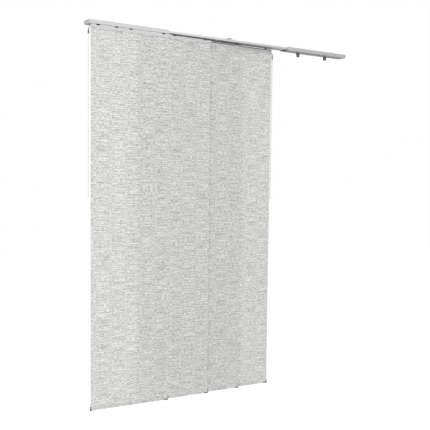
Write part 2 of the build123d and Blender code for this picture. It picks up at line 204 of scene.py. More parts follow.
def makeWorld(settings):
    world = bpy.data.worlds.new("whiteRoom")
    bpy.context.scene.world = world
    world.use_nodes = True
    tree = world.node_tree
    tree.nodes.clear()
    direction = addNode(tree, "ShaderNodeTexCoord")
    axes = addNode(tree, "ShaderNodeSeparateXYZ", {}, {0: direction.outputs["Generated"]})
    height = addNode(tree, "ShaderNodeMapRange",
                     {"To Min": settings["worldHorizon"], "To Max": settings["worldZenith"]},
                     {"Value": axes.outputs["Z"]})
    white = hexToLinear(settings["white"])
    light = addNode(tree, "ShaderNodeBackground", {"Color": white}, {"Strength": height.outputs[0]})
    backdrop = addNode(tree, "ShaderNodeBackground", {"Color": white, "Strength": 1.0})
    mix = addNode(tree, "ShaderNodeMixShader", {},
                  {0: seenDirectly(tree), 1: light.outputs[0], 2: backdrop.outputs[0]})
    addNode(tree, "ShaderNodeOutputWorld", {}, {"Surface": mix.outputs[0]})


def makeFloor(settings):
    # matt white studio floor: bright by itself to the eye, so only a soft shadow is left on it
    material, tree, shader = newMaterial("mattWhiteFloorPaint")
    shader.inputs["Base Color"].default_value = hexToLinear(settings["floorColour"])
    shader.inputs["Roughness"].default_value = settings["floorRoughness"]
    glow = addNode(tree, "ShaderNodeEmission",
                   {"Color": hexToLinear(settings["white"]), "Strength": settings["floorGlow"]})
    both = addNode(tree, "ShaderNodeAddShader", {}, {0: shader.outputs[0], 1: glow.outputs[0]})
    mix = addNode(tree, "ShaderNodeMixShader", {},
                  {0: seenDirectly(tree), 1: shader.outputs[0], 2: both.outputs[0]})
    tree.links.new(mix.outputs[0], tree.get_output_node("ALL").inputs["Surface"])
    bm = bmesh.new()
    bmesh.ops.create_grid(bm, x_segments=1, y_segments=1, size=settings["floorSize"] / 2)
    bmesh.ops.translate(bm, verts=bm.verts, vec=(0, 0, settings["floorHeight"]))
    floor = meshObject("studioFloor", bm, material)


makeCamera(photoCamera)
makeWorld(studio)
makeFloor(studio)
makeLamp("keyLamp", keyLamp)
makeLamp("sheenLamp", sheenLamp)
bpy.context.scene.view_settings.view_transform = "Standard"
print("camera, white room, floor and lamps made")


aluminium = {
    "linePitch": 0.0009,  # extrusion lines; real ones are about 0.2 mm apart, too fine to show
    "run": 1.2,  # metres that one line runs before it fades
    "lineDetail": 3.0,
    "lineStops": (0.35, 0.65),  # of the noise, from the darker colour to the plain one
    "lineShade": 0.94,
    "lineDepth": 0.00004,
    "smoother": 0.05,  # off the roughness where a line is low
    "rougher": 0.07,  # and on it where it is high
    "facesDown": -0.9,  # upward part of the normal of a face that gets all of the painted shade
    "facesOut": -0.3,  # and of one that gets none
    "paintedInsideShade": 0.34,  # painted shade on the insides of the channels, as a share of the colour
    "channelLine": -0.07355,  # y of the front channel's middle
    "channelPitch": 0.0197,
    "trackMiddle": -0.044,
}

# painted shade on faces that look down: the share of the colour left there
# inside: half width of a channel, half depth of all four, and their lowest and highest point, where the
# painted shade goes
anodised = {"colour": "#b9b9b9", "roughness": 0.42, "line": 0.35, "under": 0.72,
            "insideHalf": 0.0094, "insideSpan": 0.0389, "insideLow": 0.0009, "insideHigh": 0.0197}
brightAnodised = {"colour": "#bebebe", "roughness": 0.40, "line": 0.3, "under": 0.9,
                  "insideHalf": 0.0083, "insideSpan": 0.0377, "insideLow": 0.0056, "insideHigh": 0.0182}
railAnodised = {"colour": "#bcbcbc", "roughness": 0.44, "line": 0.35, "under": 0.8}
millFinish = {"colour": "#cfcfcf", "roughness": 0.30, "line": 0.6, "under": 0.9}
zincPlate = {"colour": "#bfc1c4", "roughness": 0.35, "line": 0.2, "under": 0.9}


def channelInside(tree, place, settings):
    # 1 inside any of the four channels, which repeat across the track
    axes = addNode(tree, "ShaderNodeSeparateXYZ", {}, {0: place})
    y, z = axes.outputs["Y"], axes.outputs["Z"]
    shifted = addNode(tree, "ShaderNodeMath",
                      {"operation": "SUBTRACT", 1: aluminium["channelLine"]}, {0: y})
    across = addNode(tree, "ShaderNodeMath",
                     {"operation": "PINGPONG", 1: aluminium["channelPitch"] / 2},
                     {0: shifted.outputs[0]})
    inside = addNode(tree, "ShaderNodeMath",
                     {"operation": "LESS_THAN", 1: settings["insideHalf"]}, {0: across.outputs[0]})
    span = {"operation": "COMPARE", 1: aluminium["trackMiddle"], 2: settings["insideSpan"]}
    below = {"operation": "LESS_THAN", 1: settings["insideHigh"]}
    above = {"operation": "GREATER_THAN", 1: settings["insideLow"]}
    for test, source in ((span, y), (below, z), (above, z)):
        passed = addNode(tree, "ShaderNodeMath", test, {0: source})
        inside = addNode(tree, "ShaderNodeMath", {"operation": "MULTIPLY"},
                         {0: inside.outputs[0], 1: passed.outputs[0]})
    return inside.outputs[0]


def extrudedMetal(name, settings):
    # aluminium, extruded and satin anodised, or steel, rolled and zinc-plated: soft wide highlights,
    # faint lines along the run, and painted shade on the undersides and inside the channels
    material, tree, shader = newMaterial(name)
    place = addNode(tree, "ShaderNodeTexCoord")
    fine = 1 / aluminium["linePitch"]
    stretch = addNode(tree, "ShaderNodeMapping", {"Scale": (1 / aluminium["run"], fine, fine)},
                      {"Vector": place.outputs["Object"]})
    lines = addNode(tree, "ShaderNodeTexNoise", {"Scale": 1.0, "Detail": aluminium["lineDetail"]},
                    {"Vector": stretch.outputs[0]})
    base = hexToLinear(settings["colour"])
    low, high = aluminium["lineStops"]
    shade = addNode(tree, "ShaderNodeValToRGB",
                    {"stops": ((low, darker(base, aluminium["lineShade"])), (high, base))},
                    {"Fac": lines.outputs["Fac"]})
    # painted shade: faces that look down get a darker colour, where less light falls on them
    facing = addNode(tree, "ShaderNodeSeparateXYZ", {}, {0: place.outputs["Normal"]})
    under = addNode(tree, "ShaderNodeMapRange",
                    {"From Min": aluminium["facesDown"], "From Max": aluminium["facesOut"],
                     "To Min": settings["under"], "To Max": 1.0},
                    {"Value": facing.outputs["Z"]})
    level = under.outputs[0]
    # painted shade: the insides of the channels get a darker colour, standing in for the shade in them
    if "insideHalf" in settings:
        inside = channelInside(tree, place.outputs["Object"], settings)
        paintedInsideShadeFactor = addNode(tree, "ShaderNodeMapRange",
                         {"To Min": 1.0, "To Max": aluminium["paintedInsideShade"]}, {"Value": inside})
        both = addNode(tree, "ShaderNodeMath", {"operation": "MULTIPLY"},
                       {0: level, 1: paintedInsideShadeFactor.outputs[0]})
        level = both.outputs[0]
    paintedShadeColour = addNode(tree, "ShaderNodeHueSaturation", {}, {"Value": level, "Color": shade.outputs[0]})
    tree.links.new(paintedShadeColour.outputs[0], shader.inputs["Base Color"])
    rough = addNode(tree, "ShaderNodeMapRange",
                    {"To Min": settings["roughness"] - aluminium["smoother"],
                     "To Max": settings["roughness"] + aluminium["rougher"]},
                    {"Value": lines.outputs["Fac"]})
    tree.links.new(rough.outputs[0], shader.inputs["Roughness"])
    bump = addNode(tree, "ShaderNodeBump",
                   {"Strength": settings["line"], "Distance": aluminium["lineDepth"]},
                   {"Height": lines.outputs["Fac"]})
    tree.links.new(bump.outputs[0], shader.inputs["Normal"])
    shader.inputs["Metallic"].default_value = 1.0
    return material


powderCoat = {
    "peelDetail": 2.0,
    "peelStrength": 0.4,
    "patchesPerMetre": 9.0,  # where the coat lies a little thicker
    "patchDetail": 1.0,
    "patchStops": (0.3, 0.7),
    "patchShade": 0.94,
}


def coatedMetal(name, colour, roughness, grain, lift):
    # powder coat, sprayed and baked: even colour with a fine orange-peel skin
    material, tree, shader = newMaterial(name)
    s = powderCoat
    place = addNode(tree, "ShaderNodeTexCoord")
    peel = addNode(tree, "ShaderNodeTexNoise", {"Scale": 1 / grain, "Detail": s["peelDetail"]},
                   {"Vector": place.outputs["Object"]})
    patch = addNode(tree, "ShaderNodeTexNoise",
                    {"Scale": s["patchesPerMetre"], "Detail": s["patchDetail"]},
                    {"Vector": place.outputs["Object"]})
    base = hexToLinear(colour)
    low, high = s["patchStops"]
    shade = addNode(tree, "ShaderNodeValToRGB",
                    {"stops": ((low, darker(base, s["patchShade"])), (high, base))},
                    {"Fac": patch.outputs["Fac"]})
    tree.links.new(shade.outputs[0], shader.inputs["Base Color"])
    bump = addNode(tree, "ShaderNodeBump", {"Strength": s["peelStrength"], "Distance": lift},
                   {"Height": peel.outputs["Fac"]})
    tree.links.new(bump.outputs[0], shader.inputs["Normal"])
    shader.inputs["Roughness"].default_value = roughness
    return material


sparkMould = {
    "detail": 3.0,
    "noiseRoughness": 0.6,
    "stops": (0.3, 0.7),
    "shade": 0.93,  # of the colour, where the grain is low
    "strength": 0.5,
    "depth": 0.00003,
    "smoother": 0.06,  # off the roughness where the grain is low
    "rougher": 0.08,  # and on it where it is high
    "ior": 1.52,
}


def mouldedPlastic(name, colour, roughness, grain):
    # ABS, nylon, acetal, acrylic or polypropylene from a spark-textured mould: matt, fine even grain
    material, tree, shader = newMaterial(name)
    s = sparkMould
    place = addNode(tree, "ShaderNodeTexCoord")
    spark = addNode(tree, "ShaderNodeTexNoise",
                    {"Scale": 1 / grain, "Detail": s["detail"], "Roughness": s["noiseRoughness"]},
                    {"Vector": place.outputs["Object"]})
    base = hexToLinear(colour)
    low, high = s["stops"]
    shade = addNode(tree, "ShaderNodeValToRGB",
                    {"stops": ((low, darker(base, s["shade"])), (high, base))},
                    {"Fac": spark.outputs["Fac"]})
    tree.links.new(shade.outputs[0], shader.inputs["Base Color"])
    bump = addNode(tree, "ShaderNodeBump", {"Strength": s["strength"], "Distance": s["depth"]},
                   {"Height": spark.outputs["Fac"]})
    tree.links.new(bump.outputs[0], shader.inputs["Normal"])
    rough = addNode(tree, "ShaderNodeMapRange",
                    {"To Min": roughness - s["smoother"], "To Max": roughness + s["rougher"]},
                    {"Value": spark.outputs["Fac"]})
    tree.links.new(rough.outputs[0], shader.inputs["Roughness"])
    shader.inputs["IOR"].default_value = s["ior"]
    return material


threadWeave = {
    "waveLength": 0.314,  # metres between the crests of a wave texture of scale 1
    "stops": (0.2, 0.8),
    "shade": 0.75,  # of the colour, between the threads
    "strength": 0.6,
    "lift": 0.0001,
    "roughness": 0.8,
    "sheen": 0.2,
}


def wovenTape(name, colour, pitch):
    # polyester tape, woven: small crossing threads with a slight sheen
    material, tree, shader = newMaterial(name)
    s = threadWeave
    place = addNode(tree, "ShaderNodeTexCoord")
    warp, weft = (addNode(tree, "ShaderNodeTexWave",
                          {"Scale": s["waveLength"] / pitch, "bands_direction": direction},
                          {"Vector": place.outputs["Object"]}) for direction in ("X", "Z"))
    threads = addNode(tree, "ShaderNodeMath", {"operation": "MAXIMUM"},
                      {0: warp.outputs["Fac"], 1: weft.outputs["Fac"]})
    base = hexToLinear(colour)
    low, high = s["stops"]
    shade = addNode(tree, "ShaderNodeValToRGB",
                    {"stops": ((low, darker(base, s["shade"])), (high, base))},
                    {"Fac": threads.outputs[0]})
    tree.links.new(shade.outputs[0], shader.inputs["Base Color"])
    bump = addNode(tree, "ShaderNodeBump", {"Strength": s["strength"], "Distance": s["lift"]},
                   {"Height": threads.outputs[0]})
    tree.links.new(bump.outputs[0], shader.inputs["Normal"])
    shader.inputs["Roughness"].default_value = s["roughness"]
    shader.inputs["Sheen Weight"].default_value = s["sheen"]
    return material


woolNap = {
    "detail": 3.0,
    "tangle": 1.5,
    "stops": (0.3, 0.7),
    "shade": 0.5,  # of the colour, deep in the nap
    "strength": 0.8,
    "lift": 0.0003,
    "roughness": 0.95,
    "sheen": 0.1,
}


def pressedFelt(name, colour, fibre):
    # wool felt, pressed: nearly black, matt, with a short tangled nap
    material, tree, shader = newMaterial(name)
    s = woolNap
    place = addNode(tree, "ShaderNodeTexCoord")
    hairs = addNode(tree, "ShaderNodeTexNoise",
                    {"Scale": 1 / fibre, "Detail": s["detail"], "Distortion": s["tangle"]},
                    {"Vector": place.outputs["Object"]})
    base = hexToLinear(colour)
    low, high = s["stops"]
    shade = addNode(tree, "ShaderNodeValToRGB",
                    {"stops": ((low, darker(base, s["shade"])), (high, base))},
                    {"Fac": hairs.outputs["Fac"]})
    tree.links.new(shade.outputs[0], shader.inputs["Base Color"])
    bump = addNode(tree, "ShaderNodeBump", {"Strength": s["strength"], "Distance": s["lift"]},
                   {"Height": hairs.outputs["Fac"]})
    tree.links.new(bump.outputs[0], shader.inputs["Normal"])
    shader.inputs["Roughness"].default_value = s["roughness"]
    shader.inputs["Sheen Weight"].default_value = s["sheen"]
    return material


# after the colour: roughness, grain, thread or fibre in metres, and for a coat how far it lifts
# real mould grain and threads are about 0.2 mm wide, and are drawn a few times coarser so that they show
finishes = {
    "outer": extrudedMetal("satinAnodisedAluminium", anodised),
    "rail": extrudedMetal("satinAnodisedRailAluminium", railAnodised),
    "bar": extrudedMetal("millFinishAluminium", millFinish),
    "inner": extrudedMetal("brightSatinAnodisedAluminium", brightAnodised),
    "bracket": coatedMetal("blackPowderCoatSteel", "#1b1b1b", 0.55, 0.0009, 0.00005),
    "endCap": mouldedPlastic("greyMouldedAbs", "#bcbcbc", 0.5, 0.0007),
    "runner": mouldedPlastic("blackMouldedNylon", "#161616", 0.55, 0.0006),
    "railCap": mouldedPlastic("lightGreyMouldedAbs", "#b5b5b5", 0.48, 0.0007),
    "bottomCap": mouldedPlastic("greyMouldedPolypropylene", "#565656", 0.5, 0.0007),
    "wand": mouldedPlastic("whiteMouldedAcrylic", "#dcdcda", 0.25, 0.0010),
    "wandHead": mouldedPlastic("darkMouldedAcetal", "#4c4c4c", 0.4, 0.0006),
    "zinc": extrudedMetal("zincPlatedSteel", zincPlate),
    "ring": coatedMetal("blackCoatedSteelWire", "#1e1e1e", 0.45, 0.0008, 0.00003),
    "tape": wovenTape("whiteWovenPolyesterTape", "#d8d8d6", 0.0012),
    "stitch": wovenTape("twistedPolyesterThread", "#dadad8", 0.0008),
    # the felt is used only for the painted shadow lines on the rear rails
    "felt": pressedFelt("blackFeltShadowLine", "#1c1c1c", 0.0008),
}

finishOfNode = {
    "left_track": "outer", "right_track": "outer",
    "left_end_cap": "endCap", "right_end_cap": "endCap",
    "channel_saddle": "inner", "bracket_spacer": "zinc",
}
for number in panelNumbers:
    finishOfNode.update({
        f"inner_channel_{number}": "inner",
        f"top_rail_{number}": "rail",
        f"runners_{number}": "runner",
        f"rail_caps_{number}": "railCap",
        f"bottom_bar_{number}": "bar",
        f"bottom_caps_{number}": "bottomCap",
    })
for number in (1, 2, 3, 4, 5):
    finishOfNode[f"wall_bracket_{number}"] = "bracket"
for number in (1, 2, 4, 5):  # the middle bracket has a spacer instead of a clip
    finishOfNode[f"track_clip_{number}"] = "zinc"
for side in ("left", "right"):
    finishOfNode.update({
        f"wand_ring_{side}": "ring",
        f"wand_head_{side}": "wandHead",
        f"wand_rod_{side}": "wand",
        f"wand_tip_{side}": "wand",
    })

for node, finish in finishOfNode.items():
    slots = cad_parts[node].data.materials
    slots.clear()
    slots.append(finishes[finish])
print("rigid finishes on", len(finishOfNode), "nodes")


screw = {
    "headRadius": 0.004,
    "headHeight": 0.0024,
    "shaftRadius": 0.002,
    "recessRadius": 0.0024,
    "recessDepth": 0.0011,
    "cells": 5,  # across the recess; the middle row and column are the cross
    "flatShare": 0.68,  # of the head's radius, flat on top
    "crownSteps": ((0.86, 0.22), (0.97, 0.5), (1.0, 0.72), (1.0, 1.0)),  # of its radius and height
}


def panScrew(bm, middle, top, bottom):
    s = screw
    verts = bmesh.ops.create_grid(bm, x_segments=s["cells"], y_segments=s["cells"],
                                  size=s["recessRadius"])["verts"]
    ring = list(dict.fromkeys(edge for vert in verts for edge in vert.link_edges if edge.is_boundary))
    rimVerts = {vert for edge in ring for vert in edge.verts}
    halfCell = s["recessRadius"] / s["cells"]
    cross = []
    for face in facesOf(verts):
        x, y = (abs(c) for c in face.calc_center_median()[:2])
        if min(x, y) < halfCell and not any(vert in rimVerts for vert in face.verts):
            cross.append(face)
    radius = s["headRadius"] * s["flatShare"]
    for vert in rimVerts:
        vert.co.xy = vert.co.xy.normalized() * radius
    sunkVerts = vertsIn(bmesh.ops.extrude_face_region(bm, geom=cross)["geom"])
    bmesh.ops.translate(bm, verts=sunkVerts, vec=(0, 0, -s["recessDepth"]))
    verts = [*verts, *sunkVerts]
    steps = [(r * s["headRadius"], -h * s["headHeight"]) for r, h in s["crownSteps"]]
    steps += [(s["shaftRadius"], -s["headHeight"]), (s["shaftRadius"], bottom - top)]
    height = 0.0
    for nextRadius, nextHeight in steps:
        grown = bmesh.ops.extrude_edge_only(bm, edges=ring)["geom"]
        ringVerts = vertsIn(grown)
        ring = [item for item in grown if isinstance(item, bmesh.types.BMEdge)
                and all(vert in ringVerts for vert in item.verts)]
        bmesh.ops.scale(bm, verts=ringVerts, vec=(nextRadius / radius, nextRadius / radius, 1))
        bmesh.ops.translate(bm, verts=ringVerts, vec=(0, 0, nextHeight - height))
        radius, height = nextRadius, nextHeight
        verts += ringVerts
    bmesh.ops.contextual_create(bm, geom=ring)
    bmesh.ops.translate(bm, verts=verts, vec=(*middle, top))


def makeScrews(name, node, brackets, body):
    # one screw in the middle of each bracket's arm
    low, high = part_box(node)
    bm = bmesh.new()
    for number in brackets:
        start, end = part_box(f"wall_bracket_{number}")
        panScrew(bm, ((start.x + end.x) / 2, (low.y + high.y) / 2), high.z, low.z)
    bmesh.ops.recalc_face_normals(bm, faces=bm.faces)
    piece = meshPiece(name, bm, finishes["zinc"], body)
    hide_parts(node)


makeScrews("clipScrewsLeft", "clip_screws_left", (1, 2), "left_section")
makeScrews("clipScrewMiddle", "clip_screw_middle", (3,), "middle_section")
makeScrews("clipScrewsRight", "clip_screws_right", (4, 5), "right_section")


rivet = {
    "headRadius": 0.003,
    "shaftRadius": 0.0016,
    "headHeight": 0.001,
    "domeSteps": ((0.0, 0.0), (0.45, 0.08), (0.8, 0.38), (1.0, 1.0)),  # of the head's radius and height
    "steps": 16,
    "merge": 1e-6,
}


def spunShape(bm, profile, x, y, steps):
    # a profile of (radius, height) points turned once round the upright line at x, y
    verts = [bm.verts.new((x + radius, y, z)) for radius, z in profile]
    edges = [bm.edges.new(pair) for pair in zip(verts, verts[1:])]
    bmesh.ops.spin(bm, geom=verts + edges, cent=(x, y, 0), axis=(0, 0, 1), dvec=(0, 0, 0),
                   angle=math.tau, steps=steps, use_merge=True)


def makeRivets(node):
    low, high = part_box(node)
    s = rivet
    dome = [(r * s["headRadius"], h * s["headHeight"]) for r, h in s["domeSteps"]]
    dome.append((s["shaftRadius"], s["headHeight"]))
    profile = [(radius, high.z - inward) for radius, inward in dome]
    profile += [(radius, low.z + inward) for radius, inward in reversed(dome)]
    bm = bmesh.new()
    for x in (low.x + s["headRadius"], high.x - s["headRadius"]):
        for channel in range(len(panelNumbers)):
            y = aluminium["channelLine"] + channel * aluminium["channelPitch"]
            spunShape(bm, profile, x, y, s["steps"])
    bmesh.ops.remove_doubles(bm, verts=bm.verts, dist=s["merge"])
    bmesh.ops.recalc_face_normals(bm, faces=bm.faces)
    piece = meshPiece("saddleRivets", bm, finishes["zinc"], "middle_section")
    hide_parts(node)


makeRivets("saddle_rivets")
print("screws and rivets made")


# dark felt strips on the rear rails stand in for the shadow under the track: a painted shadow line
shadowLineFelt = {
    "thickness": 0.0012,  # the rails pass each other 2.7 mm apart
    "height": 0.0036,
    "drops": {3: 0.0054, 4: 0.0016},  # below the top edge of the rail of each panel
    "step": 0.0040,
    "leastSteps": 2,
    "rows": 3,
    "nap": 0.00015,  # how far the felt's face strays
    "napPerMetre": 400,
    "endGap": 0.003,
    "windowGap": 0.003,  # beside the rail's windows for the runners
}

runnerGap = 0.03  # two runners of a panel are never nearer


def runnerSpans(number):
    # x ranges of the four runners, read from the gaps between them
    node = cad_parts[f"runners_{number}"]
    xs = sorted(vert.co.x for vert in node.data.vertices)
    spans = [[xs[0], xs[0]]]
    for x in xs:
        if x - spans[-1][1] > runnerGap:
            spans.append([x, x])
        spans[-1][1] = x
    return spans


def makeShadowLineFelt(number):
    # dark felt along the top of the rail's face: a painted shadow line where the track's overhang shades
    # the rear rails
    low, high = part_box(f"top_rail_{number}")
    s = shadowLineFelt
    edges = [low.x + s["endGap"]]
    for start, end in runnerSpans(number):
        edges += [start - s["windowGap"], end + s["windowGap"]]
    edges.append(high.x - s["endGap"])
    bm = bmesh.new()
    for left, right in zip(edges[::2], edges[1::2]):
        steps = max(s["leastSteps"], round((right - left) / s["step"]))
        # a grid of one by one, drawn out over the strip
        made = bmesh.ops.create_grid(bm, x_segments=steps, y_segments=s["rows"], size=0.5)["verts"]
        for vert in made:
            x, up = left + (right - left) * (vert.co.x + 0.5), vert.co.y + 0.5
            vert.co = (x, low.y, high.z - s["drops"][number] - s["height"] * (1 - up))
        grown = bmesh.ops.extrude_face_region(bm, geom=facesOf(made), use_keep_orig=True)["geom"]
        front = vertsIn(grown)
        bmesh.ops.translate(bm, verts=front, vec=(0, -s["thickness"], 0))
        for vert in front:
            vert.co.y += noise.noise(vert.co * s["napPerMetre"]) * s["nap"]
    bmesh.ops.recalc_face_normals(bm, faces=bm.faces)
    meshPiece(f"shadowLineFelt{number}", bm, finishes["felt"], f"panel_{number}")


def roundedBox(bm, size, middle, corner):
    # a box with its edges rounded, for flat strips and plates
    box = bmesh.ops.create_cube(bm, size=1.0)["verts"]
    bmesh.ops.scale(bm, verts=box, vec=size)
    bmesh.ops.translate(bm, verts=box, vec=middle)
    edges = list(dict.fromkeys(edge for vert in box for edge in vert.link_edges))
    bmesh.ops.bevel(bm, geom=edges, offset=corner, segments=2, affect="EDGES", profile=0.5, material=-1)


runnerPad = {
    "panels": (1,),  # only on the front rail, whose windows show
    "reach": 0.0005,  # past the runner's head, each way
    "drop": 0.0003,  # below the top edge of the rail
    "height": 0.0064,
    "thickness": 0.0008,
    "corner": 0.0003,
}


def makePads(number):
    # dark guide plate on the rail's face over each runner's window
    low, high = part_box(f"top_rail_{number}")
    s = runnerPad
    y, z = low.y - s["thickness"] / 2, high.z - s["drop"] - s["height"] / 2
    bm = bmesh.new()
    for start, end in runnerSpans(number):
        size = (end - start + 2 * s["reach"], s["thickness"], s["height"])
        roundedBox(bm, size, ((start + end) / 2, y, z), s["corner"])
    meshPiece(f"runnerPads{number}", bm, finishes["runner"], f"panel_{number}")


hookTape = {
    "base": 0.0007,
    "corner": 0.0003,
    "margin": 0.0012,
    "hookPitch": 0.0042,  # drawn wider apart than real hook tape, about 1.5 mm
    "rows": 3,
    "rowPitch": 0.0042,
    "firstRow": 0.0028,  # above the tape's foot
    "stem": 0.00028,  # radius
    "stemSides": 5,
    "root": 0.7,  # where the stem starts in the base, as a share of its thickness
    "reach": 0.00045,  # radius of the crook
    "crookAngle": 130,
    "crookSteps": 4,
    "slack": 0.00005,  # left between the crook and the cloth
    "merge": 1e-7,
}


def makeHookTape(number):
    node = f"hook_tape_{number}"
    low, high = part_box(node)
    s = hookTape
    bm = bmesh.new()
    roundedBox(bm, (high.x - low.x, s["base"], high.z - low.z),
               ((low.x + high.x) / 2, low.y + s["base"] / 2, (low.z + high.z) / 2), s["corner"])
    tape = meshPiece(f"hookTapeBase{number}", bm, finishes["tape"], f"panel_{number}")
    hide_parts(node)

    # one hook: a stem out of the base with its end spun downwards
    hook = bmesh.new()
    stem = bmesh.ops.create_circle(hook, cap_ends=True, segments=s["stemSides"], radius=s["stem"])["verts"]
    bmesh.ops.rotate(hook, verts=stem, cent=(0, 0, 0), matrix=Matrix.Rotation(math.radians(90), 3, "X"))
    x, y, z = low.x + s["margin"] + s["stem"], low.y + s["base"] * s["root"], low.z + s["firstRow"]
    bmesh.ops.translate(hook, verts=stem, vec=(x, y, z))
    grown = bmesh.ops.extrude_face_region(hook, geom=list(hook.faces), use_keep_orig=True)["geom"]
    out = high.y - y - s["reach"] - s["stem"] - s["slack"]
    bmesh.ops.translate(hook, verts=vertsIn(grown), vec=(0, out, 0))
    tip = [item for item in grown if isinstance(item, bmesh.types.BMFace)]
    bmesh.ops.spin(hook, geom=tip, cent=(x, y + out, z - s["reach"]), axis=(1, 0, 0), dvec=(0, 0, 0),
                   angle=math.radians(-s["crookAngle"]), steps=s["crookSteps"])
    bmesh.ops.remove_doubles(hook, verts=hook.verts, dist=s["merge"])
    bmesh.ops.recalc_face_normals(hook, faces=hook.faces)
    hooks = meshPiece(f"hookRows{number}", hook, finishes["tape"], f"panel_{number}")
    columns = int((high.x - low.x - 2 * s["margin"]) / s["hookPitch"])
    repeatPiece(hooks, columns, (s["hookPitch"], 0, 0))
    repeatPiece(hooks, s["rows"], (0, 0, s["rowPitch"]))


for number in panelNumbers:
    makeHookTape(number)
# painted shadow lines under the track, drawn as dark felt on the rear rails
for number in shadowLineFelt["drops"]:
    makeShadowLineFelt(number)
for number in runnerPad["panels"]:
    makePads(number)
print("hook tapes, felt strips and guide plates made")


cloth = {
    "thickness": 0.0007,
    "width": 0.583,
    "columns": 36,
    "yarnPitch": 0.0062,  # drawn about twice the real weft pitch, so that it still shows in the picture
    "rowsPerYarn": 2,
    "yarnLift": 0.00030,
    "betweenYarns": 0.2,  # share of the lift on the rows between two yarns
    "weftShort": {"length": 0.030, "jump": 7.31, "shift": 0, "share": 1.3},  # thick places in the weft
    "weftLong": {"length": 0.140, "jump": 3.17, "shift": 9, "share": 0.8},  # jump: from row to row
    "weftSeed": 2.7,  # times the panel's number
    "bow": 0.0006,  # slow waves of a sheet that hangs from hook tape
    "bowAcross": 2.1,  # waves per metre
    "bowAlong": 1.3,
    "bowSeed": 5.1,
    "flatTop": 0.03,  # held flat by the tape
    "flatFoot": 0.028,  # and by the hem bar
    "ramp": 0.06,  # over which it comes free
}


def yarnHeight(across, along, seed):
    # relief of the weft at a point of the flat cloth, from -1 to 1
    row = math.floor(along / cloth["yarnPitch"])
    height = 0.0
    for weft in (cloth["weftShort"], cloth["weftLong"]):
        point = Vector((across / weft["length"], row * weft["jump"], seed + weft["shift"]))
        height += weft["share"] * noise.noise(point)
    return max(-1.0, min(1.0, height))


def freedom(z, low, high):
    # 0 where tape or hem bar holds the cloth flat, 1 where it hangs free
    fromTop = (high - cloth["flatTop"] - z) / cloth["ramp"]
    fromFoot = (z - low - cloth["flatFoot"]) / cloth["ramp"]
    return max(0.0, min(1.0, fromTop, fromFoot))


slub = {
    "dark": "#a9a9a7",
    "light": "#f2f2f0",
    "shortSlub": (0.019, 0.0052),  # length and height of a thick place in the weft; a real one is
    "longSlub": (0.110, 0.0060),  # 1 to 2 mm high, and is drawn coarser so that it shows
    "shortDetail": 2.0,
    "longDetail": 1.0,
    "longOffset": 3.7,  # keeps the long streaks apart from the short ones
    "noiseRoughness": 0.55,
    "shortShare": 0.62,
    "stops": (0.38, 0.62),  # of the noise, from the thinnest to the thickest places
    "thin": 0.74,  # cover of the thinnest and the thickest places
    "thick": 0.80,
    "selvedge": 0.0028,  # the edges are woven dense
    "selvedgeFull": 0.7,  # share of it that is all dense
    "selvedgeCover": 0.93,
    "strength": 0.6,
    "lift": 0.0002,
    "roughness": 0.85,
    "sheen": 0.15,
    "sheenRoughness": 0.5,
    "ior": 1.45,
}


def slubCloth():
    # polyester slub cloth, loosely woven and pressed: thick weft streaks, light shows between them
    material, tree, shader = newMaterial("looseSlubWeave")
    s = slub
    uv = addNode(tree, "ShaderNodeUVMap", {"uv_map": "flatCloth"})
    streaks = []
    for (length, height), offset, detail in ((s["shortSlub"], 0.0, s["shortDetail"]),
                                             (s["longSlub"], s["longOffset"], s["longDetail"])):
        stretch = addNode(tree, "ShaderNodeMapping",
                          {"Scale": (1 / length, 1 / height, 1), "Location": (offset, offset / 2, 0)},
                          {"Vector": uv.outputs[0]})
        streak = addNode(tree, "ShaderNodeTexNoise",
                         {"Scale": 1.0, "Detail": detail, "Roughness": s["noiseRoughness"]},
                         {"Vector": stretch.outputs[0]})
        streaks.append(streak.outputs["Fac"])
    longShare = addNode(tree, "ShaderNodeMath", {"operation": "MULTIPLY", 1: 1 - s["shortShare"]},
                        {0: streaks[1]})
    both = addNode(tree, "ShaderNodeMath", {"operation": "MULTIPLY_ADD", 1: s["shortShare"]},
                   {0: streaks[0], 2: longShare.outputs[0]})
    low, high = s["stops"]
    shade = addNode(tree, "ShaderNodeValToRGB",
                    {"stops": ((low, hexToLinear(s["light"])), (high, hexToLinear(s["dark"])))},
                    {"Fac": both.outputs[0]})
    tree.links.new(shade.outputs[0], shader.inputs["Base Color"])
    cover = addNode(tree, "ShaderNodeMapRange",
                    {"From Min": low, "From Max": high, "To Min": s["thin"], "To Max": s["thick"]},
                    {"Value": both.outputs[0]})
    axes = addNode(tree, "ShaderNodeSeparateXYZ", {}, {0: uv.outputs[0]})
    fromEdge = addNode(tree, "ShaderNodeMath", {"operation": "PINGPONG", 1: cloth["width"] / 2},
                       {0: axes.outputs["X"]})
    selvedge = addNode(tree, "ShaderNodeMapRange",
                       {"From Min": s["selvedge"] * s["selvedgeFull"], "From Max": s["selvedge"],
                        "To Min": s["selvedgeCover"], "To Max": 0.0},
                       {"Value": fromEdge.outputs[0]})
    dense = addNode(tree, "ShaderNodeMath", {"operation": "MAXIMUM"},
                    {0: cover.outputs[0], 1: selvedge.outputs[0]})
    tree.links.new(dense.outputs[0], shader.inputs["Alpha"])
    bump = addNode(tree, "ShaderNodeBump", {"Strength": s["strength"], "Distance": s["lift"]},
                   {"Height": both.outputs[0]})
    tree.links.new(bump.outputs[0], shader.inputs["Normal"])
    shader.inputs["Roughness"].default_value = s["roughness"]
    shader.inputs["Sheen Weight"].default_value = s["sheen"]
    shader.inputs["Sheen Roughness"].default_value = s["sheenRoughness"]
    shader.inputs["IOR"].default_value = s["ior"]
    return material


